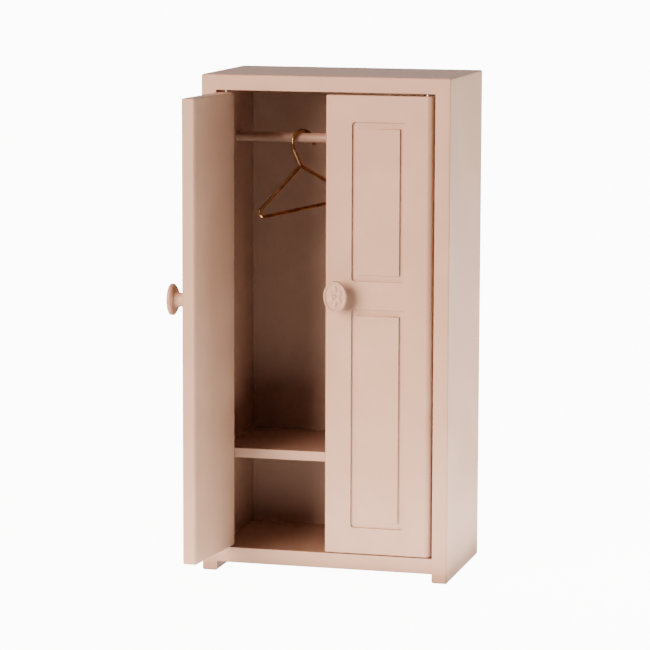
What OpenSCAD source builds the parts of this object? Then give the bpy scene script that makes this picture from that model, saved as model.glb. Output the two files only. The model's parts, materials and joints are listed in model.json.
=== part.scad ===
// Doll's house wardrobe: a painted board cabinet with two panelled doors on pivot pins,
// a shelf, a hanging rail and a wire coat hanger.
// X runs from left to right, Y from front to back and Z up. The origin is on the ground,
// in the middle of the cabinet. The right door is closed and the left door stands open.

/* [Cabinet] */
// Overall width of the cabinet
body_w = 93.5; // [78:0.5:120]
// Overall depth of the cabinet, without the doors
body_d = 54.5; // [45:0.5:70]
// Overall height of the cabinet
body_h = 185; // [150:1:240]
// Thickness of each side
side_t = 5.8; // [4.5:0.1:8]
// Thickness of the top
top_t = 5.8; // [5.5:0.1:8]
// Thickness of the floor
floor_t = 5.8; // [5.5:0.1:8]
// Gap under the floor, which is how far the sides stand below it as feet
foot_h = 3.4; // [1:0.1:8]
// Thickness of the back
back_t = 3.6; // [2:0.1:5]
// How far the back is let in from the rear edges
back_inset = 2; // [0:0.1:4]

/* [Shelf and rail] */
// Thickness of the shelf
shelf_t = 3.6; // [2.5:0.1:5]
// Height of the shelf's underside above the ground
shelf_z = 42.4; // [25:0.1:60]
// Gap between a closed door and the shelf's front edge, which stops the door
stop_gap = 0.25; // [0.2:0.05:1]
// Diameter of the hanging rail
rail_d = 3.5; // [2.5:0.1:4.2]
// Depth of the rail's blind hole in each side
rail_seat = 2; // [1:0.1:3.5]
// Distance from the top's underside down to the middle of the rail
rail_drop = 18.9; // [12:0.1:30]

/* [Doors] */
// Thickness of each door
door_t = 5.3; // [4:0.1:6]
// How far a closed door stands out of the cabinet's front
door_proud = 0.6; // [0:0.1:1.5]
// Gap between a door and the side that it hangs on
side_gap = 0.7; // [0.55:0.05:1.2]
// Gap above each door
top_gap = 0.8; // [0.3:0.05:1.5]
// Gap under each door
bottom_gap = 0.45; // [0.2:0.05:1.5]
// Gap between the two closed doors
meeting_gap = 1.1; // [0.6:0.1:2]
// Gap between an open door's outer face and the side that it hangs on
open_gap = 0.6; // [0.5:0.05:0.8]
// Gap between the shelf and the door's rounded pin edge as it turns
swing_gap = 0.1; // [0.02:0.01:0.1]
// Rounding of the two edges on the free side
free_round = 0.9; // [0.3:0.1:1.5]
// Angle that the left door stands open
left_open = 95.1; // [0:0.1:102]

/* [Door panels] */
// Width of the upright border beside each panel
stile_w = 9.8; // [8:0.1:14]
// Height of the border above and below the two panels
rail_w = 9.75; // [6:0.05:14]
// Height of the border between the two panels
mid_rail_h = 10.4; // [8:0.1:16]
// Height of that border's middle above the ground, which is also the knobs' height
mid_rail_z = 105.6; // [80:0.1:120]
// Width of the channel routed round each panel
channel_w = 2.3; // [1:0.1:3.5]
// Depth of the channel
channel_depth = 0.8; // [0.3:0.1:1.5]
// Radius of the channel's outer corners, left by the cutter
cutter_r = 1.1; // [0.5:0.1:1.5]

/* [Pivot pins] */
// Diameter of each pivot pin
pin_d = 1; // [0.8:0.1:1.4]
// Length of pin that is pressed into the door
pin_in_door = 8; // [5:0.5:12]
// Length of pin that turns in the top or the floor
pin_in_board = 4.2; // [3:0.1:4.5]
// Radial clearance round the pin in the top or the floor
pin_clear = 0.05; // [0.02:0.01:0.1]
// Gap between the pin's end and the end of its hole
pin_end_gap = 0.4; // [0.2:0.1:0.8]

/* [Knobs] */
// Width of the oval knob face
knob_w = 8.8; // [6:0.1:12]
// Height of the oval knob face
knob_h = 11.5; // [6:0.1:16]
// Thickness of the oval's edge
knob_edge_t = 1.3; // [0.8:0.1:2.5]
// Thickness of the coned back behind the edge
knob_cone_t = 1; // [0.5:0.1:2]
// Width of the raised rim round the knob's face
knob_rim_w = 0.9; // [0.5:0.1:1.5]
// Depth of the face inside the rim
knob_sink = 0.35; // [0.2:0.05:0.6]
// How far the knob stands out of the door
knob_proud = 6.4; // [5:0.1:12]
// Diameter of the stem at its waist
stem_d = 5; // [4:0.1:7]
// Diameter of the stem where it meets the door
stem_foot_d = 6.7; // [5:0.1:9]
// Distance from the door's free edge to the knob's middle
knob_inset = 5.2; // [5:0.1:9]
// Diameter of the spigot glued into the door
spigot_d = 3; // [2:0.1:4]
// Length of that spigot
spigot_len = 3; // [2:0.1:3.5]

/* [Coat hanger] */
// Diameter of the hanger's wire
wire_d = 1.4; // [1:0.1:2]
// Overall width of the hanger
hanger_w = 43.4; // [36:0.1:50]
// Slope of the hanger's shoulders
shoulder_slope = 32.4; // [20:0.1:40]
// Radius of the wire's middle round the two lower corners
hanger_corner_r = 1.8; // [1.5:0.1:4]
// Radius of the wire's middle round the hook
hook_r = 4.6; // [4.2:0.1:7]
// Radius of the wire's middle in the hook's open end
hook_end_r = 6; // [6:0.1:9]
// Sideways distance from the neck to the middle of the hook
hook_shift = 1.55; // [0:0.05:3]
// Height of the hook's middle above the neck
hook_rise = 8.35; // [7:0.05:14]
// Gap between the hook and the rail that it hangs on
hook_gap = 0.1; // [0.05:0.05:0.3]
// Angle that the hanger leans in its own plane, lower at the front
hanger_lean = 5.7; // [0:0.1:8]
// Gap between the hanger's ends and the closed doors in front or the back behind
hanger_gap = 4.3; // [3:0.1:8]
// Place of the hook along the rail, from the middle of the cabinet
hanger_x = -15.7; // [-18:0.1:18]

/* [Brads] */
// Diameter of the headless brads that pin the glued boards
brad_d = 0.8; // [0.6:0.1:1.2]
// Length of each brad
brad_len = 11; // [9:0.5:13]
// Depth of filler over each brad
brad_sink = 0.8; // [0.4:0.1:1.5]
// Distance of the brads in the top, floor and shelf from the front and rear edges
brad_inset = 11; // [8:0.5:16]

/* [Hidden] */

over = 0.5;            // how far a cutting shape runs past the surface it cuts
paint = [0.82, 0.70, 0.64];
steel = [0.75, 0.75, 0.77];
brass = [0.78, 0.60, 0.30];

inside_w = body_w - 2 * side_t;
floor_top = foot_h + floor_t;
top_under = body_h - top_t;
inside_h = top_under - floor_top;
front_y = -body_d / 2;
back_face_y = body_d / 2 - back_inset - back_t;    // front face of the back
door_face_y = front_y - door_proud;                // outer face of a closed door
door_back_y = door_face_y + door_t;                // inner face of a closed door
shelf_front_y = door_back_y + stop_gap;
inside_mid_y = (door_back_y + back_face_y) / 2;
inside_d = back_face_y - door_back_y;

pin_inset = door_t / 2 + open_gap;                 // from the side's inner face to the pin's axis
pin_x = inside_w / 2 - pin_inset;
pin_y = door_face_y + door_t / 2;
door_z = floor_top + bottom_gap;
door_h = inside_h - top_gap - bottom_gap;
door_reach = pin_x - meeting_gap / 2;              // from the pin to the free edge
door_tail = pin_inset - side_gap;                  // from the pin to the other edge
swing_r = door_t / 2 + stop_gap - swing_gap;       // how far from its pin the rounded edge reaches
hinge_round = door_tail + door_t / 2 - swing_r
    - sqrt(2 * (swing_r - door_tail) * (swing_r - door_t / 2));
knob_x = knob_inset - door_reach;                  // from the pin to the knob's middle

rail_z = top_under - rail_drop;
rail_y = inside_mid_y;

wire_r = wire_d / 2;
corner_x = hanger_w / 2 - wire_r - hanger_corner_r;
corner_drop = (hanger_corner_r + corner_x * sin(shoulder_slope)) / cos(shoulder_slope);
hanger_turn = asin(min(1, (inside_d - 2 * hanger_gap) / hanger_w));
// From the hook's middle to the rail's. The hook touches at its top, or beside its top where the
// hanger is turned so far along the rail that the rail is broad inside it.
hook_keep = wire_r + rail_d / 2 + hook_gap;
hang_rise = hook_r * pow(sin(hanger_turn), 2) >= hook_keep ? hook_r - hook_keep
    : sqrt(pow(hook_r * sin(hanger_turn), 2) - pow(hook_keep, 2)) / tan(hanger_turn);
neck_shift = hook_shift * cos(hanger_lean) - hook_rise * sin(hanger_lean);
neck_drop = hook_shift * sin(hanger_lean) + hook_rise * cos(hanger_lean) + hang_rise;

cut_n = 8;             // straight pieces in each rounded corner of a board
round_n = 32;          // sides of the rail, the pins, the brads and their holes
knob_n = 48;           // sides of the knob's stem and spigot
oval_n = 64;           // sides of the knob's oval
back_brad_n = 3;       // brads through each side into the back
wire_n = 10;           // sides of the hanger's wire
bend_n = 5;            // pieces in each bend of the hanger
hook_n = 14;           // pieces in each arc of the hook
hook_widens = 80;      // angle, from level, at which the hook's wider end begins
stem_n = 8;            // pieces in the curve of the knob's stem

// Points of an arc round a centre, from one angle to another
function arc(centre, r, from, to, n) =
    [for (i = [0:n]) centre + r * [cos(from + (to - from) * i / n), sin(from + (to - from) * i / n)]];

// Outline of a rectangle from corner a to corner b, with one radius for each end's two corners
function rounded(a, b, low_r, high_r) = concat(
    arc([a.x + low_r, a.y + low_r], low_r, 180, 270, cut_n),
    arc([b.x - high_r, a.y + high_r], high_r, 270, 360, cut_n),
    arc([b.x - high_r, b.y - high_r], high_r, 0, 90, cut_n),
    arc([a.x + low_r, b.y - low_r], low_r, 90, 180, cut_n));

// Outline of an oval
function oval(w, h) =
    [for (i = [0:oval_n - 1]) let (a = i * 360 / oval_n) [w / 2 * cos(a), h / 2 * sin(a)]];

// A block given by its lowest corner and its highest corner
module block(low, high) {
    translate(low) cube(high - low);
}

// A round bar along X, from x0 to x1
module bar_x(d, x0, x1, y, z) {
    translate([x0, y, z]) rotate([0, 90, 0]) cylinder(d = d, h = x1 - x0, $fn = round_n);
}

// Brads: down through the top into the sides, and through the sides into the other boards
module brad_across(y, z) {
    for (s = [-1, 1]) {
        inner = s * (body_w / 2 - brad_sink - brad_len);
        outer = s * (body_w / 2 - brad_sink);
        bar_x(brad_d, min(inner, outer), max(inner, outer), y, z);
    }
}

module top_brads() {
    z = body_h - brad_sink - brad_len;
    for (s = [-1, 1], t = [-1, 1])
        translate([s * (body_w - side_t) / 2, t * (body_d / 2 - brad_inset), z])
            cylinder(d = brad_d, h = brad_len, $fn = round_n);
}

module floor_brads() {
    for (t = [-1, 1]) brad_across(t * (body_d / 2 - brad_inset), foot_h + floor_t / 2);
}

module shelf_brads() {
    for (t = [-1, 1]) brad_across(t * (body_d / 2 - brad_inset), shelf_z + shelf_t / 2);
}

module back_brads() {
    for (i = [1:back_brad_n])
        brad_across(back_face_y + back_t / 2, floor_top + inside_h * i / (back_brad_n + 1));
}

module carcass_brads() {
    color(steel) {
        top_brads();
        floor_brads();
        shelf_brads();
        back_brads();
    }
}

// The rail, and the blind holes that hold its ends
module rail_bar() {
    bar_x(rail_d, -inside_w / 2 - rail_seat, inside_w / 2 + rail_seat, rail_y, rail_z);
}

module side(low_x) {
    color(paint) difference() {
        block([low_x, front_y, 0], [low_x + side_t, -front_y, top_under]);
        rail_bar();
        top_brads();
        floor_brads();
        shelf_brads();
        back_brads();
    }
}

module left_side() {
    side(-body_w / 2);
}

module right_side() {
    side(inside_w / 2);
}

// Holes for both doors' pins, running from the board's face at z away from the doors
module pin_holes(z, up) {
    depth = pin_in_board + pin_end_gap;
    for (s = [-1, 1])
        translate([s * pin_x, pin_y, up ? z - over : z - depth])
            cylinder(r = pin_d / 2 + pin_clear, h = depth + over, $fn = round_n);
}

module top_panel() {
    color(paint) difference() {
        block([-body_w / 2, front_y, top_under], [body_w / 2, -front_y, body_h]);
        pin_holes(top_under, true);
        top_brads();
    }
}

module floor_panel() {
    color(paint) difference() {
        block([-inside_w / 2, front_y, foot_h], [inside_w / 2, -front_y, floor_top]);
        pin_holes(floor_top, false);
        floor_brads();
    }
}

module back_panel() {
    color(paint) difference() {
        block([-inside_w / 2, back_face_y, floor_top], [inside_w / 2, back_face_y + back_t, top_under]);
        back_brads();
    }
}

module shelf() {
    color(paint) difference() {
        block([-inside_w / 2, shelf_front_y, shelf_z], [inside_w / 2, back_face_y, shelf_z + shelf_t]);
        shelf_brads();
    }
}

module hanging_rail() {
    color(paint) rail_bar();
}

// One closed door, hung on the right: the pin's axis is at x = 0 and y = 0, the door starts at z = 0,
// its free edge points along -X and its outer face along -Y
module channel(z0, z1) {
    x0 = stile_w - door_reach;
    x1 = door_tail - stile_w;
    translate([0, channel_depth - door_t / 2, 0]) rotate([90, 0, 0])
        linear_extrude(channel_depth + over) difference() {
            polygon(rounded([x0, z0], [x1, z1], cutter_r, cutter_r));
            translate([x0 + channel_w, z0 + channel_w])
                square([x1 - x0 - 2 * channel_w, z1 - z0 - 2 * channel_w]);
        }
}

module door_leaf() {
    mid_z = mid_rail_z - door_z;
    color(paint) difference() {
        linear_extrude(door_h)
            polygon(rounded([-door_reach, -door_t / 2], [door_tail, door_t / 2], free_round, hinge_round));
        channel(rail_w, mid_z - mid_rail_h / 2);
        channel(mid_z + mid_rail_h / 2, door_h - rail_w);
        for (z = [-over, door_h - pin_in_door])
            translate([0, 0, z]) cylinder(d = pin_d, h = pin_in_door + over, $fn = round_n);
        translate([knob_x, -door_t / 2, mid_z]) rotate([90, 0, 0])
            translate([0, 0, -spigot_len]) cylinder(d = spigot_d, h = spigot_len + over, $fn = knob_n);
    }
}

// Profile of the knob's stem, from the door's face to the back of the cone: [radius, height]
function stem_profile(h) = concat([[0, 0]],
    [for (i = [0:stem_n]) let (t = i / stem_n)
        [stem_d / 2 + (stem_foot_d - stem_d) / 2 * pow(2 * t - 1, 2), h * t]],
    [[0, h]]);

// A knob standing along +Z on a face at z = 0, with its spigot below, its height along Y
module knob() {
    cone_z = knob_proud - knob_edge_t - knob_cone_t;
    edge_z = knob_proud - knob_edge_t;
    cone_share = stem_foot_d / knob_w;
    color(paint) {
        difference() {
            union() {
                rotate_extrude($fn = knob_n) polygon(stem_profile(cone_z + knob_cone_t / 2));
                translate([0, 0, -spigot_len]) cylinder(d = spigot_d, h = spigot_len + over, $fn = knob_n);
                translate([0, 0, cone_z]) linear_extrude(knob_cone_t, scale = 1 / cone_share)
                    polygon(oval(knob_w * cone_share, knob_h * cone_share));
                translate([0, 0, edge_z]) linear_extrude(knob_edge_t) polygon(oval(knob_w, knob_h));
            }
            translate([0, 0, knob_proud - knob_sink]) linear_extrude(knob_sink + over)
                polygon(oval(knob_w - 2 * knob_rim_w, knob_h - 2 * knob_rim_w));
        }
    }
}

module door_knob() {
    translate([knob_x, -door_t / 2, mid_rail_z - door_z]) rotate([90, 0, 0]) knob();
}

module top_pin() {
    z = door_h - pin_in_door;
    color(steel) translate([0, 0, z])
        cylinder(d = pin_d, h = pin_in_door + top_gap + pin_in_board, $fn = round_n);
}

module bottom_pin() {
    z = -bottom_gap - pin_in_board;
    color(steel) translate([0, 0, z])
        cylinder(d = pin_d, h = pin_in_door + bottom_gap + pin_in_board, $fn = round_n);
}

// Places what hangs on each door's pins
module on_right() {
    translate([pin_x, pin_y, door_z]) children();
}

module on_left() {
    translate([-pin_x, pin_y, door_z]) rotate([0, 0, -left_open]) mirror([1, 0, 0]) children();
}

module left_door() {
    on_left() door_leaf();
}

module right_door() {
    on_right() door_leaf();
}

module left_knob() {
    on_left() door_knob();
}

module right_knob() {
    on_right() door_knob();
}

module left_top_pin() {
    on_left() top_pin();
}

module left_bottom_pin() {
    on_left() bottom_pin();
}

module right_top_pin() {
    on_right() top_pin();
}

module right_bottom_pin() {
    on_right() bottom_pin();
}

// The hanger's routes lie in its own plane, with the neck at [0, 0] and the second value upwards
function frame_route() = let (low = [-corner_x, -corner_drop], lean = 90 + shoulder_slope) concat(
    arc(low, hanger_corner_r, lean, 270, bend_n),
    arc([corner_x, -corner_drop], hanger_corner_r, -90, 90 - shoulder_slope, bend_n),
    [[0, 0]]);

// From the neck, straight to the hook, round its top and down its wider open end
function hook_route() = let (
    middle = [hook_shift, hook_rise],
    aim = atan2(hook_rise, hook_shift),
    spread = asin(hook_r / norm(middle)),
    end_middle = middle - (hook_end_r - hook_r) * [cos(hook_widens), sin(hook_widens)]
) concat(
    [[0, 0]],
    arc(middle, hook_r, aim + spread + 90, hook_widens, hook_n),
    arc(end_middle, hook_end_r, hook_widens - hook_widens / hook_n, 0, hook_n - 1));

function unit(v) = v / norm(v);

// Direction of a route at point i, which is halfway between the stretches before and after it
function heading(route, i, closed) = let (n = len(route),
    into = closed ? route[i] - route[(i + n - 1) % n] : route[max(i, 1)] - route[max(i, 1) - 1],
    out_of = closed ? route[(i + 1) % n] - route[i] : route[min(i, n - 2) + 1] - route[min(i, n - 2)]
) unit(unit(into) + unit(out_of));

// Wire swept along a route in the XZ plane, closed in a ring or with two flat ends
module wire(route, closed) {
    rings = len(route);
    points = [for (i = [0:rings - 1]) let (d = heading(route, i, closed), p = route[i])
        for (k = [0:wire_n - 1]) let (a = k * 360 / wire_n)
            [p.x - d.y * wire_r * cos(a), wire_r * sin(a), p.y + d.x * wire_r * cos(a)]];
    walls = [for (i = [0:(closed ? rings - 1 : rings - 2)]) for (k = [0:wire_n - 1])
        let (a = i * wire_n, b = (i + 1) % rings * wire_n, m = (k + 1) % wire_n)
            [a + k, b + k, b + m, a + m]];
    ends = closed ? [] : [[for (k = [0:wire_n - 1]) k],
                          [for (k = [0:wire_n - 1]) rings * wire_n - 1 - k]];
    polyhedron(points, concat(walls, ends));
}

module coat_hanger() {
    color(brass)
        translate([hanger_x, rail_y, rail_z])
            rotate([0, 0, hanger_turn])
                translate([-neck_shift, 0, -neck_drop])
                    rotate([0, -hanger_lean, 0]) {
                        wire(frame_route(), true);
                        wire(hook_route(), false);
                    }
}

left_side();
right_side();
top_panel();
floor_panel();
back_panel();
shelf();
hanging_rail();
carcass_brads();
left_door();
right_door();
left_knob();
right_knob();
left_top_pin();
left_bottom_pin();
right_top_pin();
right_bottom_pin();
coat_hanger();
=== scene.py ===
"""Doll's house wardrobe: the finished looks, built round its fixed frame.

A painted board cabinet with two panelled doors on pivot pins, turned knobs, a shelf, a hanging rail
and a wire coat hanger. Everything is in metres, X right, Y to the back and Z up, with the origin on
the ground in the middle of the cabinet. The right door is closed and the left door stands open.
"""

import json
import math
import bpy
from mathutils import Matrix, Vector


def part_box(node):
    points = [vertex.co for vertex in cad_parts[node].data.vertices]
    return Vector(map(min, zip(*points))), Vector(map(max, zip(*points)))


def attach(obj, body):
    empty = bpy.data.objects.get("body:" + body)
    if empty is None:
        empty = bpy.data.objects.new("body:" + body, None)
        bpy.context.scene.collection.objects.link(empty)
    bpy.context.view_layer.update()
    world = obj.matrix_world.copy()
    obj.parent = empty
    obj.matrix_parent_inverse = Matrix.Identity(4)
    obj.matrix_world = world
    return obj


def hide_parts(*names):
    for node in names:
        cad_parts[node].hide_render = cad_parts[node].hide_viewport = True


bl_info = {
    "name": "Doll's House Wardrobe",
    "version": (1, 0, 0),
    "blender": (4, 5, 0),
    "location": "View3D > Sidebar > Wardrobe",
    "description": "Builds a doll's house wardrobe: boards, doors, knobs, pins and coat hanger",
    "category": "Add Mesh",
}

import bmesh
import bpy
from bpy.props import FloatProperty, FloatVectorProperty, IntProperty, PointerProperty
from mathutils import Matrix, Quaternion, Vector
from mathutils.geometry import interpolate_bezier

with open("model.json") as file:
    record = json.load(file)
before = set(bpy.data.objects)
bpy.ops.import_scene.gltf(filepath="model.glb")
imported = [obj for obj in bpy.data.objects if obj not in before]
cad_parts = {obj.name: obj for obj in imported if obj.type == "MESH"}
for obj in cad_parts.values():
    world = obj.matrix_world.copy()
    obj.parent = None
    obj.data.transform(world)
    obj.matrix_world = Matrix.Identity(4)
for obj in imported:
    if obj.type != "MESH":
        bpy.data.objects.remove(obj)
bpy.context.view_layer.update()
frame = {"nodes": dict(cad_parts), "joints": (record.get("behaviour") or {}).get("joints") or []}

NEAR = 1e-6  # two places closer than this are the same place
MERGE = 1e-7  # corners closer than this are merged
RUN_OUT = 0.0006  # longest run of a rounding past the line it stops at
SHARP = 1.0  # edges that turn by more radians than this are corners, not parts of a rounding
ALIGNED = 0.99  # least cosine between two directions that count as the same
X, Y, Z = range(3)
UP = Vector((0, 0, 1))
DOWN = Vector((0, 0, -1))
BACK = Vector((0, 1, 0))
SIDES = ("left", "right")
BRUSH_ACROSS, BRUSH_ALONG = 1300, 70  # brush marks to the metre across the strokes and along them
FACTOR, FIRST, SECOND, MIXED = 0, 6, 7, 2  # the colour sockets of a Mix node


def length(name, about, default):
    """A length in metres that a user can change."""
    return FloatProperty(
        name=name, description=about, default=default, min=0, precision=5, unit="LENGTH"
    )


def angle(name, about, degrees):
    """An angle that a user can change, given here in degrees."""
    return FloatProperty(
        name=name, description=about, default=math.radians(degrees), unit="ROTATION"
    )


def colour(name, about, default):
    """A colour that a user can change."""
    return FloatVectorProperty(
        name=name, description=about, default=default, min=0, max=1, size=3, subtype="COLOR"
    )


def amount(name, about, default):
    """A number from 0 to 1 that a user can change."""
    return FloatProperty(name=name, description=about, default=default, min=0, max=1)


def power(name, about, default):
    """A light's strength, which a user can change."""
    return FloatProperty(name=name, description=about, default=default, min=0)


class WardrobeBoardSizes(bpy.types.PropertyGroup):
    """Sizes of the boards and the pins that their outlines don't give."""

    outer_round: length("Outer edges", "Rounding of the cabinet's outer edges", 0.0007)
    inner_round: length("Inner edges", "Rounding of the edges round the opening", 0.0003)
    pin_clearance: length("Pin clearance", "Radial room round a pin in the boards", 0.00005)
    pin_end_room: length("Pin end room", "Room beyond a pin's end in its hole", 0.0004)
    pin_chamfer: length("Pin chamfer", "Chamfer round the ends of the pins", 0.00012)


class WardrobeDoorSizes(bpy.types.PropertyGroup):
    """Sizes of the doors that their outlines don't give."""

    stile: length("Stile", "Width of the upright border beside each panel", 0.0098)
    rail: length("Rail", "Height of the border above and below the panels", 0.00975)
    mid_rail: length("Middle rail", "Height of the border between the panels", 0.0104)
    channel: length("Channel width", "Width of the channel round each panel", 0.0023)
    channel_depth: length("Channel depth", "Depth of the channel round each panel", 0.0008)
    cutter: length("Cutter radius", "Radius of the channel's outer corners", 0.0011)
    lip: length("Channel lip", "Softening that the paint gives the channel's edges", 0.00014)
    free_round: length("Free edge", "Rounding of the upright edges away from the pins", 0.0009)
    pin_round: length("Pin edge", "Rounding of the upright edges beside the pins", 0.00213)
    end_round: length("Ends", "Rounding of the edges at the top and the foot", 0.00045)


class WardrobeKnobSizes(bpy.types.PropertyGroup):
    """Sizes of a knob that its outline doesn't give."""

    spigot: length("Spigot", "Diameter of the spigot glued into the door", 0.003)
    foot: length("Stem foot", "Diameter of the stem where it meets the door", 0.0067)
    waist: length("Stem waist", "Diameter of the stem at its narrowest", 0.005)
    edge: length("Edge", "Thickness of the oval's edge", 0.0013)
    cone: length("Coned back", "Thickness of the coned back behind the edge", 0.001)
    rim: length("Rim", "Width of the raised rim round the face", 0.0009)
    sink: length("Sink", "Depth of the face inside the rim", 0.00035)
    relief: length("Relief", "Height of the rosette on the face", 0.00034)
    petals: IntProperty(name="Petals", description="Number of petals in the rosette", default=6)


class WardrobeHangerSizes(bpy.types.PropertyGroup):
    """Sizes of the wire coat hanger."""

    wire: length("Wire", "Diameter of the wire", 0.0014)
    width: length("Width", "Overall width of the hanger", 0.0434)
    slope: angle("Slope", "Slope of the hanger's shoulders", 32.4)
    corner: length("Corner", "Radius of the wire's middle round the lower corners", 0.0018)
    hook: length("Hook", "Radius of the wire's middle round the hook", 0.0046)
    hook_end: length("Hook end", "Radius of the wire's middle in the hook's open end", 0.006)
    hook_shift: length("Hook shift", "Distance of the hook's middle beside the neck", 0.00155)
    hook_rise: length("Hook rise", "Height of the hook's middle above the neck", 0.00835)
    hook_widens: angle("Hook widens", "Angle at which the hook's open end begins", 80)
    kink: length("Kink", "Length of each arm of the bend at the neck", 0.0011)
    lean: angle("Lean", "Angle that the hanger leans in its own plane", 5.7)
    turn: angle("Turn", "Angle that the hanger is turned on the rail", 55.11)


class WardrobeFinishes(bpy.types.PropertyGroup):
    """Colours and gloss of the wardrobe's finishes."""

    paint: colour("Paint", "Powder pink eggshell paint", (0.42, 0.258, 0.186))
    paint_worn: colour("Worn paint", "Paint where it has been handled", (0.455, 0.286, 0.212))
    paint_gloss: amount("Paint roughness", "Roughness of the dry paint", 0.42)
    brass: colour("Brass", "Aged brass of the coat hanger", (0.64, 0.40, 0.20))
    brass_tarnish: colour("Tarnish", "Darker film on the brass", (0.38, 0.21, 0.10))
    steel: colour("Steel", "Bright steel of the pins and brads", (0.42, 0.42, 0.43))
    floor: colour("Floor", "Pale studio floor", (0.86, 0.86, 0.86))


class WardrobeStudio(bpy.types.PropertyGroup):
    """Place of the camera and strength of the lights."""

    camera_place: FloatVectorProperty(
        name="Camera", description="Place of the camera", default=(0.28378, -1.10710, 0.25555),
        unit="LENGTH",
    )
    camera_target: FloatVectorProperty(
        name="Target", description="Point in the middle of the view",
        default=(-0.004916, -0.00725, 0.091193), unit="LENGTH",
    )
    camera_roll: angle("Roll", "Turn of the camera round its line of sight", 0.193)
    camera_field: angle("Field of view", "Angle across the picture", 12.0212)
    key_power: power("Key light", "Soft light in front on the left, low down", 10.6)
    right_power: power("Right light", "Soft light from the right", 2.3)
    rear_power: power("Rear light", "Soft light from behind on the left", 1.05)
    rear_sheen: power("Rear sheen", "Gleam on the top from the pale room behind", 0.62)
    front_card: power("Front card", "Light thrown up from the floor in front", 0.46)
    right_card: power("Right card", "Light thrown up from the floor on the right", 0.42)
    under_card: power("Under card", "Light thrown up from the floor under it", 0.02)
    side_box: power("Side box", "Light from a small box behind on the right", 2.4)
    room_power: power("Room light", "Even light from all round", 0.07)
    floor_glow: power("Floor glow", "Brightness of the pale floor", 13.0)
    key_shade: colour("Key colour", "Colour of the key light", (1.0, 0.756, 0.605))
    lamp_shade: colour("Lamp colour", "Colour of the other lights", (1.0, 0.91, 0.81))
    sky_shade: colour("Sky colour", "Colour of the gleam on the top", (0.72, 0.88, 1.0))
    room_shade: colour("Room colour", "Colour of the light from all round", (0.8, 0.86, 0.86))


class Sock:
    """A socket of a material's nodes. Sums of sockets and numbers add their Math nodes."""

    def __init__(self, tree, socket=None):
        self.tree = tree
        self.socket = socket

    def node(self, kind, settings=None, inputs=None, output=0):
        """Adds any node, with its settings first and then the values or links of its sockets."""
        made = self.tree.nodes.new(kind)
        for name, value in (settings or {}).items():
            setattr(made, name, value)
        for name, value in (inputs or {}).items():
            if isinstance(value, Sock):
                self.tree.links.new(value.socket, made.inputs[name])
            else:
                made.inputs[name].default_value = value
        return Sock(self.tree, made.outputs[output]) if len(made.outputs) else None

    def maths(self, operation, *values):
        """Adds a Math node on this socket's tree."""
        return self.node("ShaderNodeMath", {"operation": operation}, dict(enumerate(values)))

    def __add__(self, other):
        return self.maths("ADD", self, other)

    def __sub__(self, other):
        return self.maths("SUBTRACT", self, other)

    def __rsub__(self, other):
        return self.maths("SUBTRACT", other, self)

    def __mul__(self, other):
        return self.maths("MULTIPLY", self, other)

    __radd__ = __add__
    __rmul__ = __mul__

    def within(self, low, high):
        """0 below low and 1 above high, with a soft step between."""
        return self.node(
            "ShaderNodeMapRange",
            {"interpolation_type": "SMOOTHSTEP"},
            {"Value": self, "From Min": low, "From Max": high},
        )

    def mix(self, first, second):
        """The first colour where this socket is 0 and the second where it is 1."""
        inputs = {FACTOR: self, FIRST: first, SECOND: second}
        return self.node("ShaderNodeMix", {"data_type": "RGBA"}, inputs, MIXED)

    def tinted(self, tint):
        """This colour multiplied by another."""
        settings = {"data_type": "RGBA", "blend_type": "MULTIPLY"}
        inputs = {FACTOR: 1.0, FIRST: self, SECOND: tint}
        return self.node("ShaderNodeMix", settings, inputs, MIXED)

    def stretched(self, scale):
        """This place, scaled along each axis."""
        return self.node("ShaderNodeMapping", None, {"Vector": self, "Scale": scale})

    def noise(self, scale, detail=2.0, rough=0.5):
        """Soft cloudy noise at this place, with about scale clouds to the metre."""
        return self.node(
            "ShaderNodeTexNoise",
            None,
            {"Vector": self, "Scale": scale, "Detail": detail, "Roughness": rough},
        )

    def bumped(self, depth, strength):
        """A surface normal that follows this height, from 0 to 1, times a depth in metres."""
        inputs = {"Height": self, "Distance": depth, "Strength": strength}
        return self.node("ShaderNodeBump", None, inputs)


def rgba(shade):
    """A colour with full opacity."""
    return (*shade, 1)


def new_material(name):
    """An empty material, and the place on the surface that its patterns start from."""
    made = bpy.data.materials.new(name)
    made.use_nodes = True
    made.node_tree.nodes.clear()
    place = Sock(made.node_tree).node("ShaderNodeTexCoord", output="Object")
    return made, place


def shade_with(place, sockets):
    """Adds the Principled shader with these sockets and the material's output."""
    shader = place.node("ShaderNodeBsdfPrincipled", None, sockets)
    place.node("ShaderNodeOutputMaterial", None, {"Surface": shader})


def painted_wood(finishes, name, brush):
    """Eggshell paint, with the number of brush marks to the metre along each axis. Painted shade
    darkens the hollows of the marks and pores.
    """
    hollow_shade = 0.965  # painted shade: brightness given to the hollows of the brush marks and pores
    paint_depth = 0.00006
    made, place = new_material(name)
    strokes = place.stretched(brush).noise(scale=1, detail=3, rough=0.6)
    pores = place.noise(scale=1500, rough=0.6)
    handled = place.noise(scale=38, detail=3, rough=0.55).within(0.42, 0.72)
    colour_here = handled.mix(rgba(finishes.paint), rgba(finishes.paint_worn))
    raised = (strokes * 0.5 + pores * 0.5).within(0.2, 0.8)
    height = strokes * 0.6 + pores * 0.4
    shade_with(place, {
        # painted shade: the colour is darkened in the hollows of the brush marks and pores
        "Base Color": colour_here.tinted(raised.mix(rgba([hollow_shade] * 3), rgba([1] * 3))),
        "Roughness": finishes.paint_gloss + 0.1 * pores + 0.06 * handled,
        "Normal": height.bumped(paint_depth, strength=0.5),
        "IOR": 1.5,
    })
    return made


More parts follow.
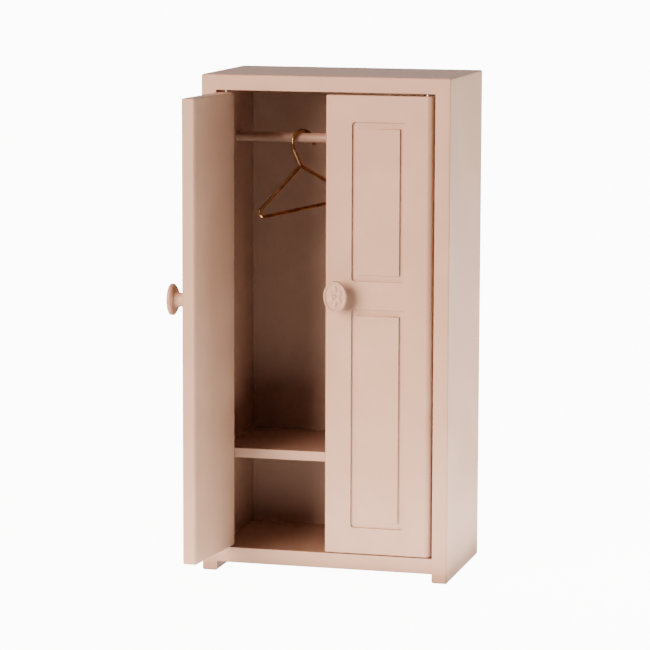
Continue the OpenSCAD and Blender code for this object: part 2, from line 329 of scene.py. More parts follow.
def aged_brass(finishes):
    """Drawn brass wire with a thin brown tarnish left in patches."""
    speck_depth = 0.000002
    made, place = new_material("aged_brass")
    specks = place.noise(scale=2600)
    film = place.noise(scale=160).within(0.4, 0.75)
    shade_with(place, {
        "Base Color": film.mix(rgba(finishes.brass), rgba(finishes.brass_tarnish)),
        "Metallic": 1.0,
        "Roughness": 0.18 + 0.06 * film + 0.04 * specks,
        "Normal": specks.bumped(speck_depth, strength=0.2),
    })
    return made


def bright_steel(finishes):
    """Cut steel wire with fine drawing lines along it."""
    line_depth = 0.000005
    across, along = 9000, 300  # lines to the metre
    dark = [0.7 * part for part in finishes.steel]
    made, place = new_material("bright_steel")
    lines = place.stretched((across, across, along)).noise(scale=1)
    dull = place.noise(scale=900).within(0.4, 0.7)
    shade_with(place, {
        "Base Color": dull.mix(rgba(finishes.steel), rgba(dark)),
        "Metallic": 1.0,
        "Roughness": 0.24 + 0.12 * lines + 0.1 * dull,
        "Normal": lines.bumped(line_depth, strength=0.4),
    })
    return made


def studio_floor(finishes, glow):
    """Matt pale floor with a very faint unevenness."""
    pale = finishes.floor
    dimmer = [0.985 * part for part in pale]
    made, place = new_material("studio_floor")
    shade_with(place, {
        "Base Color": place.noise(scale=6).mix(rgba(dimmer), rgba(pale)),
        "Roughness": 0.85,
        "Emission Color": rgba(pale),
        "Emission Strength": glow,
    })
    return made


def material(name, make, *values):
    """The material of that name, made the first time it is asked for."""
    return bpy.data.materials.get(name) or make(*values)


def brushed(context, name, brush):
    """The paint of that name, brushed one way."""
    return material(name, painted_wood, context.scene.wardrobe_finishes, name, brush)


def upright_paint(context):
    """Paint brushed up and down, as on the sides, the back and the doors."""
    return brushed(context, "paint_brushed_upright", (BRUSH_ACROSS, BRUSH_ACROSS, BRUSH_ALONG))


def level_paint(context):
    """Paint brushed from left to right, as on the top, the floor, the shelf and the rail."""
    return brushed(context, "paint_brushed_level", (BRUSH_ALONG, BRUSH_ACROSS, BRUSH_ACROSS))


def steel_finish(context):
    """The steel of the pins and brads."""
    return material("bright_steel", bright_steel, context.scene.wardrobe_finishes)


def keep_piece(bm, name, body, nodes, finish, crease=40):
    """Turns finished mesh work into a piece that rides on its body and stands for its CAD nodes.
    Edges that turn by more degrees than the crease look sharp."""
    bmesh.ops.remove_doubles(bm, verts=bm.verts, dist=MERGE)
    bmesh.ops.recalc_face_normals(bm, faces=bm.faces)
    for face in bm.faces:
        face.smooth = True
    mesh = bpy.data.meshes.new(name)
    bm.to_mesh(mesh)
    bm.free()
    mesh.set_sharp_from_angle(angle=math.radians(crease))
    mesh.materials.append(finish)
    piece = bpy.data.objects.new(name, mesh)
    bpy.context.scene.collection.objects.link(piece)
    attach(piece, body)
    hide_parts(*nodes)
    return piece


def flat_faces_stay_flat(piece):
    """Lets each piece's large faces set the shading, so that only its rounded edges look round."""
    shading = piece.modifiers.new("flat_faces", "WEIGHTED_NORMAL")
    shading.keep_sharp = True


def rod(sides, radius, height, place):
    """New mesh work that holds one rod, upright until its place turns it."""
    bm = bmesh.new()
    bmesh.ops.create_cone(bm, cap_ends=True, segments=sides, radius1=radius, radius2=radius,
                          depth=height, matrix=place)
    return bm


def block(low, high):
    """New mesh work that holds one block between two corners."""
    bm = bmesh.new()
    bmesh.ops.create_cube(bm, size=1)
    bmesh.ops.scale(bm, vec=high - low, verts=bm.verts)
    bmesh.ops.translate(bm, vec=(low + high) / 2, verts=bm.verts)
    return bm


def edges_at(bm, x=None, y=None, z=None):
    """The edges that lie at these places; a place that is left out may be any."""
    wanted = [(axis, place) for axis, place in enumerate((x, y, z)) if place is not None]
    return [
        edge
        for edge in bm.edges
        if all(abs(end.co[axis] - place) < NEAR for end in edge.verts for axis, place in wanted)
    ]


def between(edges, axis, low, high):
    """Those of the edges that lie between two places along an axis."""
    return [
        edge
        for edge in edges
        if all(low - NEAR < end.co[axis] < high + NEAR for end in edge.verts)
    ]


def front_lips(bm, low, high):
    """A level board's two long edges in front."""
    return edges_at(bm, y=low.y, z=high.z) + edges_at(bm, y=low.y, z=low.z)


def round_over(bm, edges, radius, segments=4):
    """Rounds edges with a quarter circle."""
    bmesh.ops.bevel(
        bm, geom=edges, offset=radius, offset_type="OFFSET", affect="EDGES", segments=segments,
        profile=0.5, material=-1, clamp_overlap=True,
    )
    bm.normal_update()


def end_squarely(bm, line, axis, stop):
    """Pulls the point left where a rounding runs out along an edge back to the line it stops at."""
    wanted = [(i, place) for i, place in enumerate(line) if place is not None]
    for vert in bm.verts:
        on_line = all(abs(vert.co[i] - place) < NEAR for i, place in wanted)
        if on_line and NEAR < abs(vert.co[axis] - stop) < RUN_OUT:
            vert.co[axis] = stop


def saw(bm, place, direction):
    """Splits every face along a flat cut."""
    bmesh.ops.bisect_plane(
        bm, geom=bm.verts[:] + bm.edges[:] + bm.faces[:], plane_co=place, plane_no=direction
    )
    bm.normal_update()


def flat_face_at(bm, point, outwards):
    """The face that holds a point and looks outwards in that direction."""
    for face in bm.faces:
        if face.normal.dot(outwards) < ALIGNED:
            continue
        if abs((point - face.verts[0].co).dot(outwards)) > NEAR:
            continue
        if bmesh.geometry.intersect_face_point(face, point):
            return face
    raise ValueError(f"no flat face at {tuple(point)}")


def drill(bm, into, holes, segments=32):
    """Sinks round holes into one flat face. Each is its middle on the face, radius and depth."""
    face = flat_face_at(bm, holes[0][0], -into)
    outline = face.edges[:]
    bmesh.ops.delete(bm, geom=[face], context="FACES_ONLY")
    turn = UP.rotation_difference(into).to_matrix().to_4x4()
    rims = []
    for middle, radius, _ in holes:
        ring = bmesh.ops.create_circle(
            bm, cap_ends=False, segments=segments, radius=radius,
            matrix=Matrix.Translation(middle) @ turn,
        )["verts"]
        rims.append(list({edge for vert in ring for edge in vert.link_edges}))
    bmesh.ops.triangle_fill(
        bm, use_beauty=True, edges=outline + [edge for rim in rims for edge in rim], normal=-into
    )
    for rim, (_, _, depth) in zip(rims, holes):
        walls = bmesh.ops.extrude_edge_only(bm, edges=rim)["geom"]
        deep = [part for part in walls if isinstance(part, bmesh.types.BMVert)]
        bmesh.ops.translate(bm, vec=into * depth, verts=deep)
        ends = {edge for vert in deep for edge in vert.link_edges
                if all(end in deep for end in edge.verts)}
        bmesh.ops.contextual_create(bm, geom=list(ends))
    bm.normal_update()


def disc(bm, sides, radius, place):
    """Adds a disc and returns its face."""
    ring = bmesh.ops.create_circle(bm, cap_ends=True, segments=sides, radius=radius, matrix=place)
    return ring["verts"][0].link_faces[0]


def grow(bm, face, move):
    """Extrudes a face by a move and returns the face at its new end. A loose disc stays as the
    first end, and any other face goes, because it would lie inside."""
    inside = any(len(edge.link_faces) > 1 for edge in face.edges)
    made = bmesh.ops.extrude_face_region(bm, geom=[face])["geom"]
    end = next(part for part in made if isinstance(part, bmesh.types.BMFace))
    if inside:
        bmesh.ops.delete(bm, geom=[face], context="FACES")
    bmesh.ops.translate(bm, vec=move, verts=end.verts[:])
    return end


def middle_of(node):
    """The middle of a CAD node's box."""
    low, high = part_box(node)
    return (low + high) / 2


def joint(name):
    """The record's entry for a joint."""
    return next(entry for entry in frame["joints"] if entry["name"] == name)


class Opening:
    """The places that the cabinet's boards leave between them, read from the frame."""

    def __init__(self):
        left_low, left_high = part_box("left_side")
        self.left, self.right = left_high.x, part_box("right_side")[0].x
        self.front, self.back = left_low.y, left_high.y
        self.floor, self.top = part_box("floor_panel")[1].z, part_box("top_panel")[0].z


def pin_holes(sizes, surface, pins):
    """Holes in the board at one height for a pair of pins, each long enough for its pin's end."""
    holes = []
    for node in pins:
        low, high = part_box(node)
        depth = min(abs(high.z - surface), abs(surface - low.z)) + sizes.pin_end_room
        middle = Vector(((low.x + high.x) / 2, (low.y + high.y) / 2, surface))
        holes.append((middle, (high.x - low.x) / 2 + sizes.pin_clearance, depth))
    return holes


class WARDROBE_OT_boards(bpy.types.Operator):
    """Builds the sides, the top, the floor and the back of the cabinet"""

    bl_idname = "wardrobe.boards"
    bl_label = "Cabinet Boards"

    def execute(self, context):
        sizes = context.scene.wardrobe_boards
        gap = Opening()
        for side in SIDES:
            self.side_board(context, sizes, gap, side)
        self.top_board(context, sizes, gap)
        self.floor_board(context, sizes)
        back = block(*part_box("back_panel"))
        keep_piece(back, "back_board", "cabinet", ["back_panel"],
                   upright_paint(context))
        return {"FINISHED"}

    def side_board(self, context, sizes, gap, side):
        """One side, whose lower end is a foot, with the socket for the rail's end."""
        node = f"{side}_side"
        low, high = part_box(node)
        inner, outer = (high.x, low.x) if side == "left" else (low.x, high.x)
        bm = block(low, high)
        saw(bm, Vector((0, 0, gap.floor)), UP)
        outer_edges = edges_at(bm, x=outer, y=gap.front) + edges_at(bm, x=outer, y=gap.back)
        round_over(bm, outer_edges + edges_at(bm, z=low.z), sizes.outer_round)
        inner_edges = edges_at(bm, x=inner, y=gap.front)
        round_over(bm, between(inner_edges, Z, gap.floor, high.z), sizes.inner_round)
        end_squarely(bm, (inner, gap.front, None), Z, gap.floor)
        rail_low, rail_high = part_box("hanging_rail")
        seat = rail_high.x - gap.right
        mouth = Vector((inner, (rail_low.y + rail_high.y) / 2, (rail_low.z + rail_high.z) / 2))
        into = Vector((math.copysign(1, outer), 0, 0))
        radius = (rail_high.z - rail_low.z) / 2 + sizes.pin_clearance
        drill(bm, into, [(mouth, radius, seat + sizes.pin_clearance)], segments=48)
        piece = keep_piece(bm, f"{side}_side_board", "cabinet", [node],
                           upright_paint(context))
        flat_faces_stay_flat(piece)

    def top_board(self, context, sizes, gap):
        """The top, which lies on both sides and holds the doors' upper pins."""
        low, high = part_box("top_panel")
        bm = block(low, high)
        for place in (gap.left, gap.right):
            saw(bm, Vector((place, 0, 0)), Vector((1, 0, 0)))
        rim = [edge for edge in edges_at(bm, z=high.z) if edge.calc_face_angle(0) > SHARP]
        uprights = [edge for x in (low.x, high.x) for y in (low.y, high.y)
                    for edge in edges_at(bm, x=x, y=y)]
        round_over(bm, rim + uprights, sizes.outer_round)
        lip = between(edges_at(bm, y=low.y, z=low.z), X, gap.left, gap.right)
        round_over(bm, lip, sizes.inner_round)
        for place in (gap.left, gap.right):
            end_squarely(bm, (None, low.y, low.z), X, place)
        drill(bm, UP, pin_holes(sizes, low.z, ["left_top_pin", "right_top_pin"]))
        piece = keep_piece(bm, "top_board", "cabinet", ["top_panel"],
                           level_paint(context))
        flat_faces_stay_flat(piece)

    def floor_board(self, context, sizes):
        """The floor between the sides, which holds the doors' lower pins."""
        low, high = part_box("floor_panel")
        bm = block(low, high)
        round_over(bm, front_lips(bm, low, high), sizes.inner_round)
        drill(bm, DOWN, pin_holes(sizes, high.z, ["left_bottom_pin", "right_bottom_pin"]))
        piece = keep_piece(bm, "floor_board", "cabinet", ["floor_panel"],
                           level_paint(context))
        flat_faces_stay_flat(piece)


class WARDROBE_OT_fittings(bpy.types.Operator):
    """Builds the shelf and the hanging rail"""

    bl_idname = "wardrobe.fittings"
    bl_label = "Shelf and Rail"

    def execute(self, context):
        sizes = context.scene.wardrobe_boards
        low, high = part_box("shelf")
        bm = block(low, high)
        round_over(bm, front_lips(bm, low, high), sizes.inner_round)
        shelf = keep_piece(bm, "shelf_board", "cabinet", ["shelf"],
                           level_paint(context))
        flat_faces_stay_flat(shelf)

        low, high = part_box("hanging_rail")
        radius = (high.z - low.z) / 2
        along = Matrix.Translation((low + high) / 2) @ Matrix.Rotation(math.pi / 2, 4, "Y")
        bm = rod(48, radius, high.x - low.x, along)
        ends = edges_at(bm, x=low.x) + edges_at(bm, x=high.x)
        round_over(bm, ends, sizes.inner_round)
        keep_piece(bm, "rail_dowel", "cabinet", ["hanging_rail"],
                   level_paint(context))
        return {"FINISHED"}


class Doorway:
    """Sizes and places of a door, read from the closed right door, its pins and its knob.

    A door's own place is measured from its pins: X to the side that it hangs on, Y to the back
    and Z from its foot.
    """

    def __init__(self):
        low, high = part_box("right_door")
        pin = middle_of("right_top_pin")
        knob_low, knob_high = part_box("right_knob")
        knob = (knob_low + knob_high) / 2
        self.pin = Vector((pin.x, pin.y, low.z))
        self.reach = pin.x - low.x
        self.tail = high.x - pin.x
        self.thick = high.y - low.y
        self.height = high.z - low.z
        self.knob_x = knob.x - pin.x
        self.knob_z = knob.z - low.z
        self.knob_half = (knob_high - knob_low) / 2
        self.knob_proud = low.y - knob_low.y
        self.spigot_depth = knob_high.y - low.y
        self.left_opens = math.radians(joint("left_door_hinge")["range_deg"][0])

    def hang(self, bm, side):
        """Puts work made for a closed right door onto its pins. The left door stands open."""
        place = self.pin.copy()
        if side == "left":
            place.x = -place.x
            swing = Matrix.Rotation(self.left_opens, 3, "Z")
            bmesh.ops.scale(bm, vec=(-1, 1, 1), verts=bm.verts)
            bmesh.ops.rotate(bm, cent=(0, 0, 0), matrix=swing, verts=bm.verts)
        bmesh.ops.translate(bm, vec=place, verts=bm.verts)


class WARDROBE_OT_doors(bpy.types.Operator):
    """Builds both doors, each with two panels framed by a routed channel"""

    bl_idname = "wardrobe.doors"
    bl_label = "Doors"

    def execute(self, context):
        sizes = context.scene.wardrobe_doors
        door = Doorway()
        for side in SIDES:
            bm = self.leaf(context, sizes, door)
            door.hang(bm, side)
            piece = keep_piece(bm, f"{side}_door_leaf", f"{side}_leaf",
                               [f"{side}_door"], upright_paint(context))
            flat_faces_stay_flat(piece)
        return {"FINISHED"}

    def leaf(self, context, sizes, door):
        """One door in its own place, with its holes for the pins and the knob."""
        face_y = -door.thick / 2
        bm = block(Vector((-door.reach, face_y, 0)), Vector((door.tail, -face_y, door.height)))
        for x, radius in ((-door.reach, sizes.free_round), (door.tail, sizes.pin_round)):
            uprights = edges_at(bm, x=x, y=face_y) + edges_at(bm, x=x, y=-face_y)
            round_over(bm, uprights, radius, segments=6)
        ends = edges_at(bm, z=0) + edges_at(bm, z=door.height)
        round_over(bm, ends, sizes.end_round, segments=3)

        left, right = sizes.stile - door.reach, door.tail - sizes.stile
        low_top = door.knob_z - sizes.mid_rail / 2
        high_foot = door.knob_z + sizes.mid_rail / 2
        panels = ((sizes.rail, low_top), (high_foot, door.height - sizes.rail))
        for z in (sizes.rail, low_top, high_foot, door.height - sizes.rail):
            self.score(bm, face_y, Vector((0, 0, z)), UP)
        for x in (left, right):
            self.score(bm, face_y, Vector((x, 0, 0)), Vector((1, 0, 0)))
        for foot, top in panels:
            self.rout(bm, sizes, face_y, left, right, foot, top)

        knob = (Vector((door.knob_x, face_y, door.knob_z)),
                context.scene.wardrobe_knobs.spigot / 2, door.spigot_depth)
        drill(bm, BACK, [knob])
        for node, into, end in (("right_bottom_pin", UP, 0), ("right_top_pin", DOWN, door.height)):
            pin_low, pin_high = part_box(node)
            reach = pin_high.z if into is UP else pin_low.z
            hole = (Vector((0, 0, end)), (pin_high.x - pin_low.x) / 2,
                    abs(reach - door.pin.z - end))
            drill(bm, into, [hole], segments=24)
        return bm

    def score(self, bm, face_y, place, direction):
        """Splits only the door's outer face along a line."""
        faces = [face for face in bm.faces
                 if face.normal.y < -ALIGNED and abs(face.verts[0].co.y - face_y) < NEAR]
        edges = {edge for face in faces for edge in face.edges}
        verts = {vert for face in faces for vert in face.verts}
        bmesh.ops.bisect_plane(
            bm, geom=[*faces, *edges, *verts], plane_co=place, plane_no=direction
        )
        bm.normal_update()

    def rout(self, bm, sizes, face_y, left, right, foot, top):
        """Routs the channel round one panel and softens its edges as the paint does."""
        floor_y = face_y + sizes.channel_depth
        middle = Vector(((left + right) / 2, face_y, (foot + top) / 2))
        panel = flat_face_at(bm, middle, -BACK)
        ring = bmesh.ops.inset_region(
            bm, faces=[panel], thickness=sizes.channel, use_even_offset=True, use_boundary=True
        )["faces"]
        sunk = bmesh.ops.extrude_face_region(bm, geom=ring)["geom"]
        deep = [part for part in sunk if isinstance(part, bmesh.types.BMVert)]
        bmesh.ops.delete(bm, geom=ring, context="FACES")
        bmesh.ops.translate(bm, vec=BACK * sizes.channel_depth, verts=deep)
        bm.normal_update()
        corners = [edge for x in (left, right) for z in (foot, top)
                   for edge in edges_at(bm, x=x, z=z)]
        round_over(bm, corners, sizes.cutter, segments=6)
        for y in (face_y, floor_y):
            lips = between(edges_at(bm, y=y), Z, foot, top)
            lips = [edge for edge in between(lips, X, left, right)
                    if len(edge.link_faces) == 2 and edge.calc_face_angle(0) > SHARP]
            round_over(bm, lips, sizes.lip, segments=2)


class WARDROBE_OT_knobs(bpy.types.Operator):
    """Builds both knobs: a waisted stem under an oval face with a rim and a small rosette"""

    bl_idname = "wardrobe.knobs"
    bl_label = "Knobs"

    oval_sides = 72
    stem_rings = 8
    face_rings = 16
    # the rosette, in shares of the way from the middle of the face to its rim
    boss_reach = 0.17
    petals_from = 0.22
    petal_length = 0.62
    petal_half_width = 0.25

    def execute(self, context):
        sizes = context.scene.wardrobe_knobs
        door = Doorway()
        for side in SIDES:
            bm = self.knob(sizes, door)
            turn = Matrix.Rotation(math.pi / 2, 3, "X")
            bmesh.ops.rotate(bm, cent=(0, 0, 0), matrix=turn, verts=bm.verts)
            place = Vector((door.knob_x, -door.thick / 2, door.knob_z))
            bmesh.ops.translate(bm, vec=place, verts=bm.verts)
            door.hang(bm, side)
            keep_piece(bm, f"{side}_door_knob", f"{side}_leaf",
                       [f"{side}_knob"], upright_paint(context), crease=50)
        return {"FINISHED"}

    def knob(self, sizes, door):
        """One knob along Z, with the door's face at 0 and the oval's height along Y."""
        half_w, half_h, proud = door.knob_half.x, door.knob_half.z, door.knob_proud
        foot, waist, spigot = sizes.foot / 2, sizes.waist / 2, sizes.spigot / 2
        cone_z = proud - sizes.edge - sizes.cone
        rings = [(spigot, spigot, 0)]
        for i in range(self.stem_rings + 1):
            share = i / self.stem_rings
            radius = waist + (foot - waist) * (2 * share - 1) ** 2
            rings.append((radius, radius, cone_z * share))
        rings.append((foot * 1.12, foot * half_h / half_w, cone_z + 0.1 * sizes.cone))
        crest, field = half_w - sizes.rim / 2, half_w - sizes.rim
        longer = half_h - half_w
        # From the coned back round the soft edge and over the rim to the sunk face
        for w, z in (
            (half_w - 0.00045, cone_z + 0.55 * sizes.cone),
            (half_w - 0.00012, cone_z + 0.85 * sizes.cone),
            (half_w, cone_z + 1.15 * sizes.cone),
            (half_w, proud - 0.6 * sizes.edge),
            (half_w - 0.00004, proud - 0.3 * sizes.edge),
            (half_w - 0.00016, proud - 0.11 * sizes.edge),
            (half_w - 0.00033, proud - 0.02 * sizes.edge),
            (crest, proud),
            (field + 0.00014, proud - 0.15 * sizes.sink),
            (field + 0.00003, proud - 0.6 * sizes.sink),
            (field - 0.00008, proud - 0.95 * sizes.sink),
            (field - 0.0002, proud - sizes.sink),
        ):
            rings.append((w, w + longer, z))

        bm = bmesh.new()
        w, h, z = spigot, spigot, -door.spigot_depth
        face = disc(bm, self.oval_sides, spigot, Matrix.Translation((0, 0, z)))
        for next_w, next_h, next_z in rings:
            face = grow(bm, face, Vector((0, 0, next_z - z)))
            bmesh.ops.scale(bm, vec=(next_w / w, next_h / h, 1), verts=face.verts[:])
            w, h, z = next_w, next_h, next_z
        self.rosette(bm, sizes, face, w, h)
        return bm

    def rosette(self, bm, sizes, face, half_w, half_h):
        """Raises a small flower on the sunk face."""
        raised = []
        for i in range(1, self.face_rings):
            share = (self.face_rings - i) / (self.face_rings - i + 1)
            face = grow(bm, face, Vector((0, 0, 0)))
            bmesh.ops.scale(bm, vec=(share, share, 1), verts=face.verts[:])
            raised.extend(face.verts)
        raised.extend(bmesh.ops.poke(bm, faces=[face])["verts"])
        for vert in raised:
            across = math.hypot(vert.co.x / half_w, vert.co.y / half_h)
            round_angle = math.atan2(vert.co.x / half_w, vert.co.y / half_h)
            vert.co.z += sizes.relief * self.petal_height(sizes.petals, across, round_angle)

    def petal_height(self, petals, across, round_angle):
        """Height of the flower, from 0 to 1, at a share of the way out and an angle."""
        boss = math.sqrt(max(0.0, 1 - (across / self.boss_reach) ** 2))
        along = (across - self.petals_from) / self.petal_length
        if not 0 < along < 1:
            return boss
        step = math.tau / petals
        off = abs((round_angle + step / 2) % step - step / 2) * across
        half = self.petal_half_width * math.sin(math.pi * along ** 0.75) ** 0.6
        if off >= half:
            return boss
        return max(boss, (1 - (off / half) ** 2) ** 0.35 * (0.6 + 0.4 * along))


class WARDROBE_OT_pins(bpy.types.Operator):
    """Builds the four pivot pins and gives the hidden brads their steel"""

    bl_idname = "wardrobe.pins"
    bl_label = "Pins and Brads"

    def execute(self, context):
        sizes = context.scene.wardrobe_boards
        # The left pins turn with their door, which widens their boxes.
        straight_low, straight_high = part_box("right_top_pin")
        radius = (straight_high.x - straight_low.x) / 2
        for side in SIDES:
            for end in ("top", "bottom"):
                node = f"{side}_{end}_pin"
                low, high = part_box(node)
                bm = rod(32, radius, high.z - low.z, Matrix.Translation((low + high) / 2))
                rims = edges_at(bm, z=low.z) + edges_at(bm, z=high.z)
                round_over(bm, rims, sizes.pin_chamfer, segments=1)
                keep_piece(bm, f"{side}_{end}_pivot", f"{side}_leaf", [node],
                           steel_finish(context), crease=30)
        for socket in frame["nodes"]["carcass_brads"].material_slots:
            socket.material = steel_finish(context)
        return {"FINISHED"}


class WARDROBE_OT_hanger(bpy.types.Operator):
    """Builds the coat hanger from one length of bent wire"""

    bl_idname = "wardrobe.hanger"
    bl_label = "Coat Hanger"

    wire_sides = 20
    corner_steps = 14
    kink_steps = 12
    hook_steps = 36
    tip_rings = 4
    tip_height = 0.6  # of the wire's radius

    def execute(self, context):
        sizes = context.scene.wardrobe_hanger
        radius = sizes.wire / 2
        bm = bmesh.new()
        end = self.sweep(bm, self.route(sizes), radius)
        self.round_tip(bm, end, radius)
        turn = Matrix.Rotation(sizes.turn, 3, "Z") @ Matrix.Rotation(-sizes.lean, 3, "Y")
        bmesh.ops.rotate(bm, cent=(0, 0, 0), matrix=turn, verts=bm.verts)
        low = Vector(min(vert.co[axis] for vert in bm.verts) for axis in range(3))
        high = Vector(max(vert.co[axis] for vert in bm.verts) for axis in range(3))
        bmesh.ops.translate(bm, vec=middle_of("coat_hanger") - (low + high) / 2, verts=bm.verts)
        brass = material("aged_brass", aged_brass, context.scene.wardrobe_finishes)
        keep_piece(bm, "wire_hanger", "hanger", ["coat_hanger"], brass)
        return {"FINISHED"}

    def bend(self, x, z, radius, start, end, steps):
        """Points of an arc in the hanger's plane, round a middle and from angle to angle."""
        turns = [start + (end - start) * i / steps for i in range(steps + 1)]
        return [Vector((x + radius * math.cos(a), 0, z + radius * math.sin(a))) for a in turns]

    def route(self, sizes):
        """Middle of the wire, with the neck at the origin: from the neck down the right arm, along
        the bar, up the left arm, round the kink and through the hook to its tip."""
        r, slope, quarter = sizes.corner, sizes.slope, math.pi / 2
        corner_x = sizes.width / 2 - sizes.wire / 2 - r
        corner_z = -(r + corner_x * math.sin(slope)) / math.cos(slope)
        hook_x, hook_z = sizes.hook_shift, sizes.hook_rise
        neck_aim = math.atan2(hook_z, hook_x) + math.asin(sizes.hook / math.hypot(hook_x, hook_z))
        wider = sizes.hook_end - sizes.hook
        end_x = hook_x - wider * math.cos(sizes.hook_widens)
        end_z = hook_z - wider * math.sin(sizes.hook_widens)
        right_arm = Vector((math.cos(slope), 0, -math.sin(slope)))
        left_arm = Vector((-math.cos(slope), 0, -math.sin(slope)))
        neck = Vector((math.cos(neck_aim), 0, math.sin(neck_aim)))
        zero = Vector((0, 0, 0))
        kink = interpolate_bezier(left_arm * sizes.kink, zero, zero, neck * sizes.kink,
                                  self.kink_steps)
        start = right_arm * sizes.wire / 4  # inside the kink
        return [
            start,
            *self.bend(corner_x, corner_z, r, quarter - slope, -quarter, self.corner_steps),
            *self.bend(-corner_x, corner_z, r, 3 * quarter, quarter + slope, self.corner_steps),
            *kink,
            *self.bend(hook_x, hook_z, sizes.hook, neck_aim + quarter, sizes.hook_widens,
                       self.hook_steps),
            *self.bend(end_x, end_z, sizes.hook_end, sizes.hook_widens, 0, self.hook_steps)[1:],
        ]

    def sweep(self, bm, route, radius):
        """Extrudes a disc along the route, turning it halfway round at every point."""
        stretches = [(there - here).normalized() for here, there in zip(route, route[1:])]
        joints = [(a + b).normalized() for a, b in zip(stretches, stretches[1:])]
        facing = [stretches[0], *joints, stretches[-1]]
        upright = UP.rotation_difference(facing[0]).to_matrix().to_4x4()
        end = disc(bm, self.wire_sides, radius, Matrix.Translation(route[0]) @ upright)
        for i in range(1, len(route)):
            end = grow(bm, end, route[i] - route[i - 1])
            turn = facing[i - 1].rotation_difference(facing[i]).to_matrix()
            bmesh.ops.rotate(bm, cent=route[i], matrix=turn, verts=end.verts[:])
        return end

    def round_tip(self, bm, end, radius):
        """Rounds the cut end of the wire into a low dome."""
        along = DOWN * radius * self.tip_height
        centre = end.calc_center_median()
        before, width = 0.0, 1.0
        for i in range(1, self.tip_rings):
            out = math.sin(math.pi / 2 * i / self.tip_rings)
            end = grow(bm, end, along * (out - before))
            next_width = math.sqrt(1 - out ** 2)
            bmesh.ops.scale(
                bm, vec=(next_width / width,) * 3, verts=end.verts[:],
                space=Matrix.Translation(-(centre + along * out)),
            )
            before, width = out, next_width


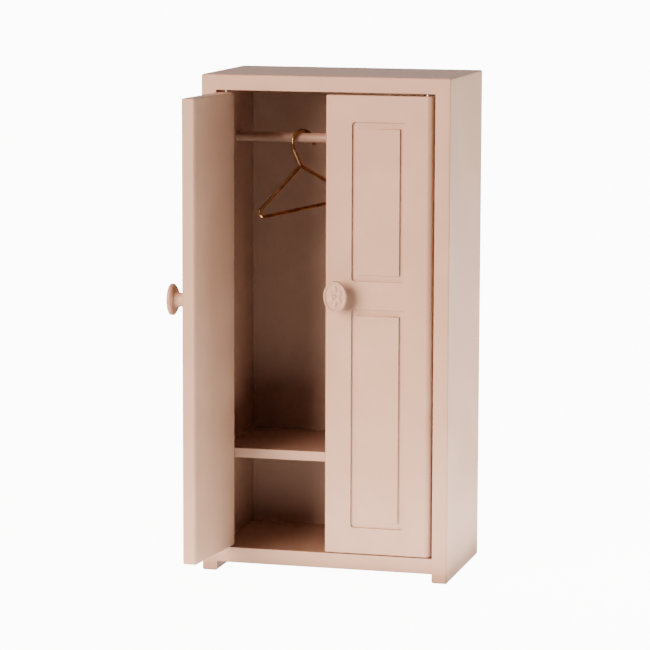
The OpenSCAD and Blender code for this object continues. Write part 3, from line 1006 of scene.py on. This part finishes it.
class WARDROBE_OT_studio(bpy.types.Operator):
    """Sets the pale floor, the soft lights and the camera"""

    bl_idname = "wardrobe.studio"
    bl_label = "Studio"

    def execute(self, context):
        studio = context.scene.wardrobe_studio
        self.floor(context)
        self.lights(context, studio)
        self.room(context, studio)
        self.camera(context, studio)
        return {"FINISHED"}

    def floor(self, context):
        """A wide pale floor and far walls, which glow without lighting the wardrobe."""
        reach = 30
        bm = bmesh.new()
        bmesh.ops.create_grid(bm, x_segments=4, y_segments=4, size=reach)
        rim = [edge for edge in bm.edges if edge.is_boundary]
        walls = bmesh.ops.extrude_edge_only(bm, edges=rim)["geom"]
        tops = [part for part in walls if isinstance(part, bmesh.types.BMVert)]
        bmesh.ops.translate(bm, vec=UP * reach, verts=tops)
        bmesh.ops.recalc_face_normals(bm, faces=bm.faces)
        bmesh.ops.reverse_faces(bm, faces=bm.faces)
        mesh = bpy.data.meshes.new("studio_floor")
        bm.to_mesh(mesh)
        bm.free()
        scene = context.scene
        mesh.materials.append(material("studio_floor", studio_floor, scene.wardrobe_finishes,
                                       scene.wardrobe_studio.floor_glow))
        floor = bpy.data.objects.new("studio_floor", mesh)
        floor.visible_diffuse = False
        floor.visible_glossy = False
        floor.visible_shadow = False
        scene.collection.objects.link(floor)

    def lamp(self, context, light, energy, shade, place, towards):
        """Places a lamp so that it shines away from a direction."""
        light.energy = energy
        light.color = shade
        lamp = bpy.data.objects.new(light.name, light)
        lamp.location = place
        lamp.rotation_mode = "QUATERNION"
        lamp.rotation_quaternion = towards.to_track_quat("Z", "Y")
        context.scene.collection.objects.link(lamp)
        return lamp

    def sun(self, context, name, energy, shade, azimuth, elevation, softness):
        """A far, soft light, in degrees. Azimuth turns from the front to the right."""
        light = bpy.data.lights.new(name, "SUN")
        light.angle = math.radians(softness)
        turn, rise = math.radians(azimuth), math.radians(elevation)
        towards = Vector((math.sin(turn) * math.cos(rise), -math.cos(turn) * math.cos(rise),
                          math.sin(rise)))
        return self.lamp(context, light, energy, shade, towards, towards)

    def card(self, context, name, energy, shade, place, size, target=None):
        """A small soft light that the camera doesn't see. Without a target it shines upwards."""
        light = bpy.data.lights.new(name, "AREA")
        light.shape = "RECTANGLE"
        light.size, light.size_y = size
        towards = Vector(place) - Vector(target) if target else DOWN
        lamp = self.lamp(context, light, energy, shade, place, towards)
        lamp.visible_camera = False

    def lights(self, context, studio):
        """A low key light in front on the left, weaker ones round it, and light off the floor."""
        shade = studio.lamp_shade
        self.sun(context, "key_light", studio.key_power, studio.key_shade,
                 azimuth=-33, elevation=13, softness=40)
        self.sun(context, "right_light", studio.right_power, shade,
                 azimuth=100, elevation=5, softness=60)
        rear = self.sun(context, "rear_light", studio.rear_power, shade,
                        azimuth=215, elevation=24, softness=50)
        rear.visible_glossy = False
        sheen = self.sun(context, "rear_sheen", studio.rear_sheen, studio.sky_shade,
                         azimuth=190, elevation=9, softness=60)
        sheen.visible_diffuse = False
        self.card(context, "front_card", studio.front_card, shade,
                  place=(-0.01, -0.09, 0.002), size=(0.30, 0.11))
        self.card(context, "right_card", studio.right_card, shade,
                  place=(0.125, 0.02, 0.002), size=(0.14, 0.25))
        self.card(context, "under_card", studio.under_card, shade,
                  place=(0, 0, 0.0006), size=(0.08, 0.05))
        self.card(context, "side_box", studio.side_box, shade,
                  place=(0.33, 0.16, 0.06), size=(0.25, 0.10), target=(0.04, 0.0, 0.08))

    def room(self, context, studio):
        """Even light from all round."""
        world = bpy.data.worlds.new("studio_room")
        world.use_nodes = True
        tree = world.node_tree
        tree.nodes.clear()
        glow = Sock(tree).node(
            "ShaderNodeBackground", None,
            {"Color": rgba(studio.room_shade), "Strength": studio.room_power},
        )
        glow.node("ShaderNodeOutputWorld", None, {"Surface": glow})
        context.scene.world = world

    def camera(self, context, studio):
        """The camera, in front on the right and a little above."""
        data = bpy.data.cameras.new("studio_camera")
        data.sensor_width = 36
        data.lens = data.sensor_width / 2 / math.tan(studio.camera_field / 2)
        data.clip_start, data.clip_end = 0.01, 100
        camera = bpy.data.objects.new("studio_camera", data)
        place, target = Vector(studio.camera_place), Vector(studio.camera_target)
        camera.rotation_mode = "QUATERNION"
        level = (target - place).to_track_quat("-Z", "Y")
        camera.rotation_quaternion = level @ Quaternion(UP, studio.camera_roll)
        camera.location = place
        context.scene.collection.objects.link(camera)
        context.scene.camera = camera


class WARDROBE_PT_sidebar(bpy.types.Panel):
    """Lists the wardrobe's pieces and their sizes"""

    bl_idname = "WARDROBE_PT_sidebar"
    bl_label = "Wardrobe"
    bl_space_type = "VIEW_3D"
    bl_region_type = "UI"
    bl_category = "Wardrobe"

    def draw(self, context):
        for name in SETTINGS:
            settings = getattr(context.scene, name)
            box = self.layout.box()
            box.label(text=name.replace("_", " ").title())
            for prop in settings.bl_rna.properties:
                if prop.identifier not in ("rna_type", "name"):
                    box.prop(settings, prop.identifier)
        for operator in OPERATORS:
            self.layout.operator(operator.bl_idname)


SETTINGS = {
    "wardrobe_boards": WardrobeBoardSizes,
    "wardrobe_doors": WardrobeDoorSizes,
    "wardrobe_knobs": WardrobeKnobSizes,
    "wardrobe_hanger": WardrobeHangerSizes,
    "wardrobe_finishes": WardrobeFinishes,
    "wardrobe_studio": WardrobeStudio,
}
OPERATORS = (
    WARDROBE_OT_boards,
    WARDROBE_OT_fittings,
    WARDROBE_OT_doors,
    WARDROBE_OT_knobs,
    WARDROBE_OT_pins,
    WARDROBE_OT_hanger,
    WARDROBE_OT_studio,
)


def register():
    """Registers the settings, the operators and the panel."""
    for name, group in SETTINGS.items():
        bpy.utils.register_class(group)
        setattr(bpy.types.Scene, name, PointerProperty(type=group))
    for made in (*OPERATORS, WARDROBE_PT_sidebar):
        bpy.utils.register_class(made)


def unregister():
    """Takes back what register added."""
    for made in (WARDROBE_PT_sidebar, *reversed(OPERATORS)):
        bpy.utils.unregister_class(made)
    for name, group in reversed(SETTINGS.items()):
        delattr(bpy.types.Scene, name)
        bpy.utils.unregister_class(group)


def main():
    """Builds the wardrobe and its stage."""
    register()
    for made in OPERATORS:
        group, name = made.bl_idname.split(".")
        getattr(getattr(bpy.ops, group), name)()


if __name__ == "__main__":
    main()
